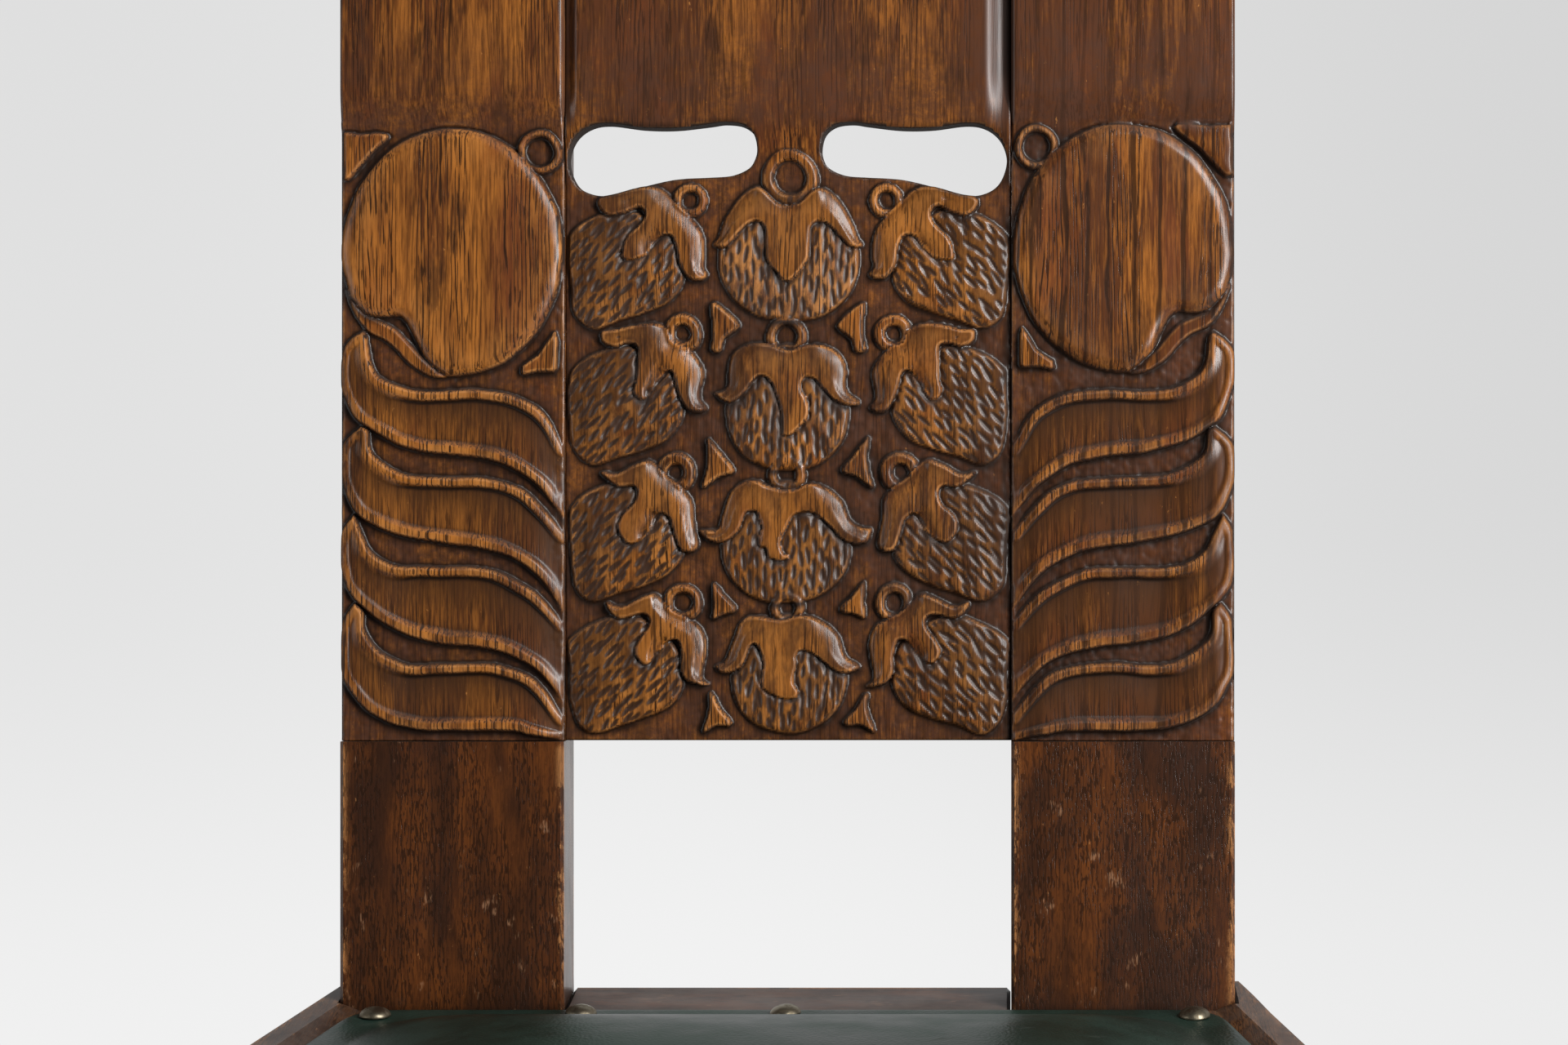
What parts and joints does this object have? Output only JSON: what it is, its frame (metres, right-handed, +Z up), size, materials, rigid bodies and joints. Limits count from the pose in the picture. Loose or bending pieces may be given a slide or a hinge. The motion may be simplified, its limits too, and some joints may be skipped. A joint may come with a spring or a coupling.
{
  "type": "side chair",
  "caption": "Tall-backed oak side chair with carved stiles and panel, hand slots in the back and a nailed leather seat.",
  "frame": {"origin": "on the floor, under the middle of the chair's bounding box", "axes": "+Z up, -Y the way a sitter faces, +X to the right as seen from the front"},
  "size_m": [0.5154, 0.5266, 1.087],
  "materials": {
    "carved_oak": "waxed oak, honey brown with dark ground",
    "dark_oak": "waxed oak, dark red-brown, worn edges",
    "plain_oak": "unfinished oak",
    "green_leather": "grained bottle-green leather, semi-gloss",
    "aged_brass": "tarnished brass",
    "screw_steel": "dull steel",
    "jute_webbing": "woven jute strap",
    "hessian": "plain woven hessian",
    "stuffing": "matted stuffing"
  },
  "bodies": {
    "root": {"left_rear_post": "dark_oak", "left_carved_stile": "carved_oak", "left_seat_rail": "dark_oak", "left_front_leg": "dark_oak", "left_stretcher": "dark_oak", "left_stile_dowel_1": "plain_oak", "left_stile_dowel_2": "plain_oak", "rear_left_block": "plain_oak", "rear_left_block_screw_1": "screw_steel", "rear_left_block_screw_2": "screw_steel", "front_left_block": "plain_oak", "front_left_block_screw_1": "screw_steel", "front_left_block_screw_2": "screw_steel", "right_rear_post": "dark_oak", "right_carved_stile": "carved_oak", "right_seat_rail": "dark_oak", "right_front_leg": "dark_oak", "right_stretcher": "dark_oak", "right_stile_dowel_1": "plain_oak", "right_stile_dowel_2": "plain_oak", "rear_right_block": "plain_oak", "rear_right_block_screw_1": "screw_steel", "rear_right_block_screw_2": "screw_steel", "front_right_block": "plain_oak", "front_right_block_screw_1": "screw_steel", "front_right_block_screw_2": "screw_steel", "back_panel": "carved_oak", "crest_rail": "carved_oak", "rear_seat_rail": "dark_oak", "front_seat_rail": "dark_oak", "cross_stretcher": "dark_oak", "base_cloth": "hessian", "seat_pad": "stuffing", "seat_leather": "green_leather", "long_strap_1": "jute_webbing", "cross_strap_1": "jute_webbing", "long_strap_2": "jute_webbing", "cross_strap_2": "jute_webbing", "long_strap_3": "jute_webbing", "cross_strap_3": "jute_webbing", "seat_nail_01": "aged_brass", "seat_nail_02": "aged_brass", "seat_nail_03": "aged_brass", "seat_nail_04": "aged_brass", "seat_nail_05": "aged_brass", "seat_nail_06": "aged_brass", "seat_nail_07": "aged_brass", "seat_nail_08": "aged_brass", "seat_nail_09": "aged_brass", "seat_nail_10": "aged_brass", "seat_nail_11": "aged_brass", "seat_nail_12": "aged_brass", "seat_nail_13": "aged_brass", "seat_nail_14": "aged_brass", "seat_nail_15": "aged_brass", "seat_nail_16": "aged_brass"}
  },
  "joints": []
}
